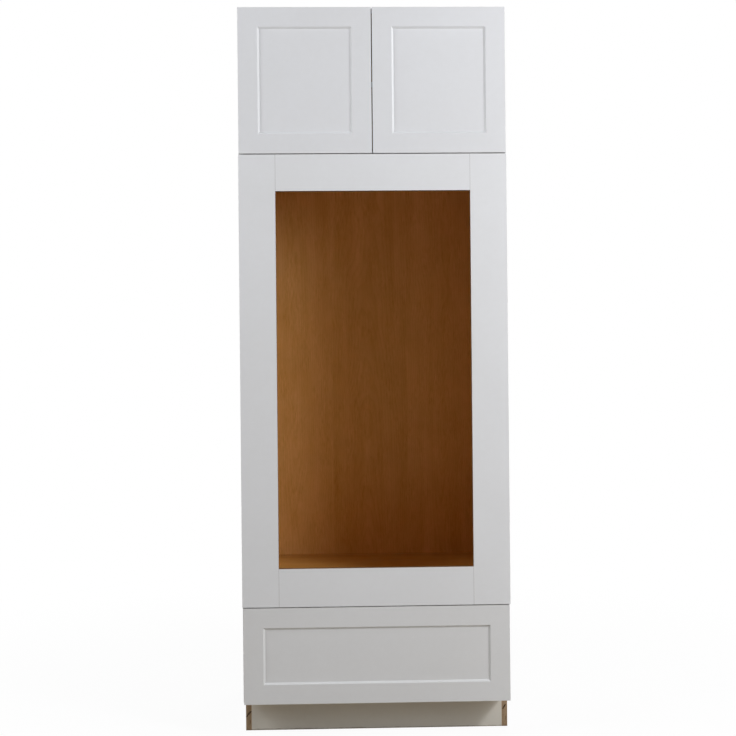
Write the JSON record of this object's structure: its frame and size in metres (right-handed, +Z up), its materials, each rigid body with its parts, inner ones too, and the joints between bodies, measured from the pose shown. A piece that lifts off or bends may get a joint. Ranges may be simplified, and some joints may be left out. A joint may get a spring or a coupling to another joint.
{
  "type": "double oven cabinet",
  "caption": "Tall painted cabinet for built-in ovens: paired doors on top, an open framed oven space, a wide drawer below and a recessed toe kick.",
  "frame": {"origin": "centre of the bounding box's footprint, on the floor", "axes": "+X to the right as seen from the front, the fronts face -Y, +Z up"},
  "size_m": [0.8382, 0.622, 2.286],
  "materials": {
    "painted_front": "satin white paint on routed fibreboard",
    "plywood": "brown stained hardwood veneer plywood, satin",
    "side_panel": "plywood, white skin outside, brown stained veneer inside, raw ply edges",
    "back_veneer": "brown stained flat-cut veneer, upright grain, satin",
    "toe_paint": "matt off-white paint",
    "drawer_wood": "clear lacquered beech",
    "dowel_wood": "plain beech",
    "zinc_steel": "zinc or nickel plated",
    "bumper_plastic": "clear soft plastic",
    "damper_plastic": "moulded, matt",
    "roller_plastic": "moulded, satin",
    "clip_plastic": "moulded, matt"
  },
  "bodies": {
    "carcass": {"side_left": "side_panel", "side_right": "side_panel", "top_panel": "plywood", "fixed_shelf": "plywood", "oven_deck": "plywood", "bottom_panel": "plywood", "back_panel": "back_veneer", "nailer_top": "plywood", "nailer_shelf": "plywood", "nailer_deck": "plywood", "nailer_bottom": "plywood", "toe_board": "toe_paint", "toe_rear_rail": "plywood", "deck_cleats": "plywood", "cleat_screws": "zinc_steel", "deck_stretcher": "plywood", "shelf_stretcher": "plywood", "adjustable_shelf": "plywood", "shelf_pins": "zinc_steel", "frame_stile_left": "painted_front", "frame_stile_right": "painted_front", "frame_rail_top": "painted_front", "frame_rail_bottom": "painted_front", "frame_dowels": "dowel_wood", "hinge_plates": "zinc_steel", "hinge_arms": "zinc_steel", "hinge_pins": "zinc_steel", "hinge_screws": "zinc_steel", "runner_cabinet_left": "zinc_steel", "runner_cabinet_right": "zinc_steel", "runner_screws": "zinc_steel", "runner_dampers": "damper_plastic"},
    "left_outer_links": {"hinge_outer_links_left": "zinc_steel"},
    "left_inner_links": {"hinge_inner_links_left": "zinc_steel"},
    "left_door": {"door_left": "painted_front", "hinge_cups_left": "zinc_steel", "cup_pins_left": "zinc_steel", "cup_screws_left": "zinc_steel", "door_bumpers_left": "bumper_plastic"},
    "right_outer_links": {"hinge_outer_links_right": "zinc_steel"},
    "right_inner_links": {"hinge_inner_links_right": "zinc_steel"},
    "right_door": {"door_right": "painted_front", "hinge_cups_right": "zinc_steel", "cup_pins_right": "zinc_steel", "cup_screws_right": "zinc_steel", "door_bumpers_right": "bumper_plastic"},
    "runner_middles": {"runner_middle_left": "zinc_steel", "runner_middle_right": "zinc_steel", "runner_rollers": "roller_plastic"},
    "drawer": {"drawer_front": "painted_front", "drawer_box_front": "drawer_wood", "drawer_box_back": "drawer_wood", "drawer_side_left": "drawer_wood", "drawer_side_right": "drawer_wood", "drawer_bottom": "drawer_wood", "runner_drawer_left": "zinc_steel", "runner_drawer_right": "zinc_steel", "locking_clips": "clip_plastic", "drawer_front_screws": "zinc_steel", "drawer_bumpers": "bumper_plastic"}
  },
  "joints": [
    {"name": "left_outer_link_turn", "type": "hinge", "parent": "carcass", "child": "left_outer_links", "pos_m": [-0.3871, -0.286, 2.055], "axis": [0, 0, -1], "range_deg": [-18.06, 0]},
    {"name": "left_door_swing", "type": "hinge", "parent": "left_outer_links", "child": "left_door", "pos_m": [-0.4091, -0.3005, 2.055], "axis": [0, 0, -1], "range_deg": [0, 113.05]},
    {"name": "left_inner_link_turn", "type": "hinge", "parent": "left_door", "child": "left_inner_links", "pos_m": [-0.4091, -0.2953, 2.055], "axis": [0, 0, -1], "range_deg": [-118.76, 0]},
    {"name": "right_outer_link_turn", "type": "hinge", "parent": "carcass", "child": "right_outer_links", "pos_m": [0.3871, -0.286, 2.055], "axis": [0, 0, 1], "range_deg": [-18.06, 0]},
    {"name": "right_door_swing", "type": "hinge", "parent": "right_outer_links", "child": "right_door", "pos_m": [0.4091, -0.3005, 2.055], "axis": [0, 0, 1], "range_deg": [0, 113.05]},
    {"name": "right_inner_link_turn", "type": "hinge", "parent": "right_door", "child": "right_inner_links", "pos_m": [0.4091, -0.2953, 2.055], "axis": [0, 0, 1], "range_deg": [-118.76, 0]},
    {"name": "drawer_slide", "type": "slide", "parent": "carcass", "child": "drawer", "axis": [0, -1, 0], "range_m": [0, 0.48]},
    {"name": "runner_middle_slide", "type": "slide", "parent": "carcass", "child": "runner_middles", "axis": [0, -1, 0], "range_m": [0, 0.24]}
  ],
  "couplings": [
    {"joint": "left_outer_link_turn", "follows": "left_door_swing", "ratio": -0.15966},
    {"joint": "left_inner_link_turn", "follows": "left_door_swing", "ratio": -1.0504},
    {"joint": "right_outer_link_turn", "follows": "right_door_swing", "ratio": -0.15966},
    {"joint": "right_inner_link_turn", "follows": "right_door_swing", "ratio": -1.0504},
    {"joint": "runner_middle_slide", "follows": "drawer_slide", "ratio": 0.5}
  ]
}
